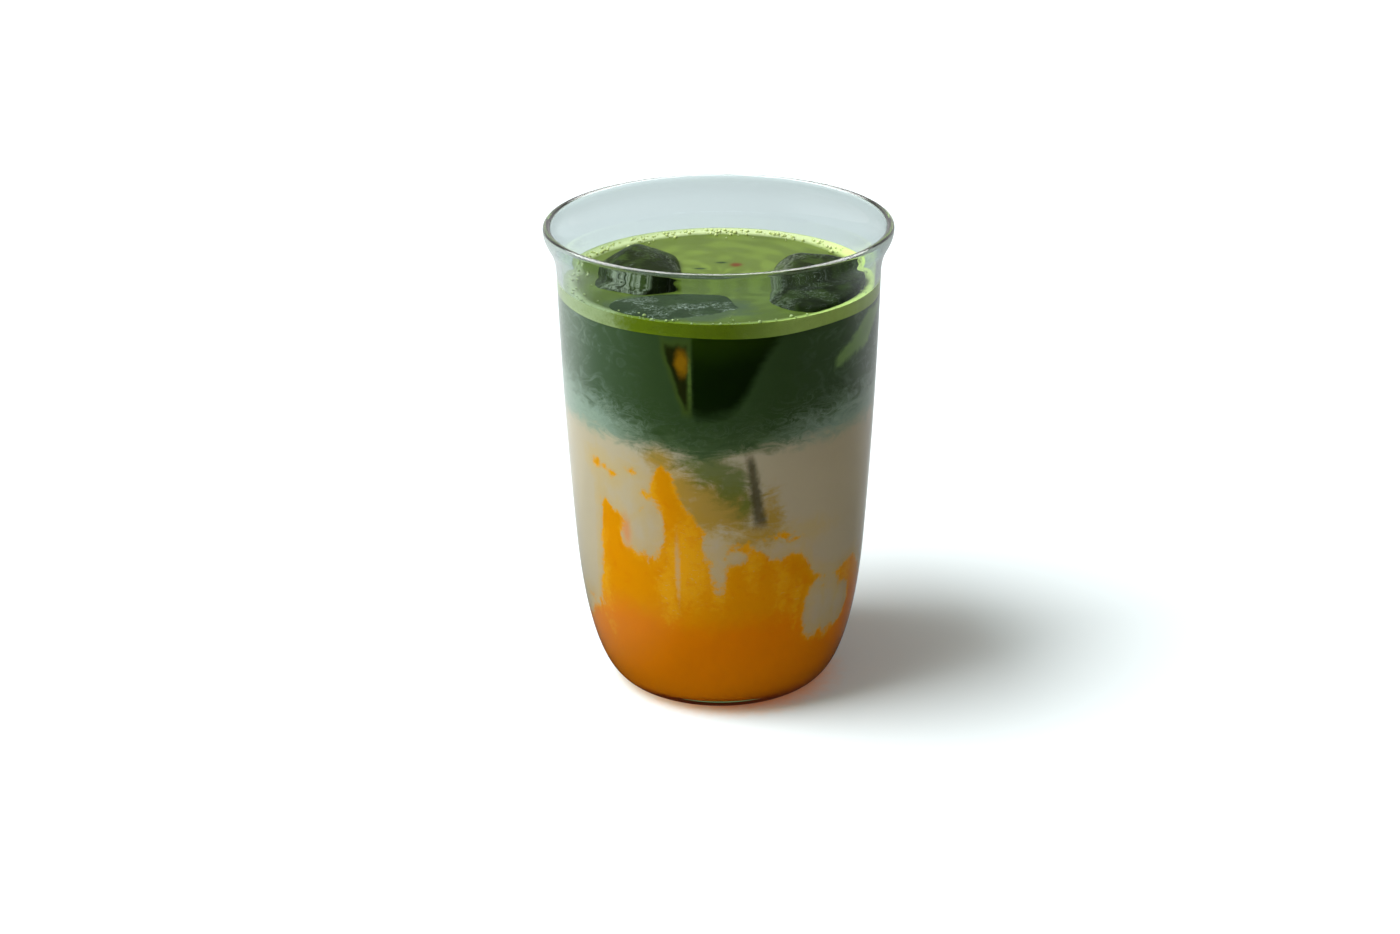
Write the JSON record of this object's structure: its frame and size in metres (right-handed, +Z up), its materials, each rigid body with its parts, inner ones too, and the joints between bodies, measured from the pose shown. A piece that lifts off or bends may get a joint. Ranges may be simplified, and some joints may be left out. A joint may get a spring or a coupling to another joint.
{
  "type": "iced matcha latte",
  "caption": "Iced matcha latte in a clear flared tumbler: mango puree below, milk in the middle, green matcha with foam and floating ice on top.",
  "frame": {"origin": "centre of the glass's foot, on the surface it stands on", "axes": "+Z up along the glass's axis, -Y towards the front, +X to the right as seen from the front"},
  "size_m": [0.0888, 0.0888, 0.124],
  "materials": {
    "glass": "clear polished borosilicate glass",
    "mango": "smooth opaque fruit puree behind glass",
    "milk": "cream-coloured milk behind glass",
    "matcha": "dark green tea, cloudy towards the milk",
    "foam": "fine yellow-green foam with tiny bubbles",
    "ice": "wet melting ice that shows the green tea through it"
  },
  "bodies": {
    "root": {"glass": "glass", "mango_puree": "mango", "milk": "milk", "matcha": "matcha", "foam": "foam", "ice_left": "ice", "ice_front": "ice", "ice_right": "ice"}
  },
  "joints": []
}
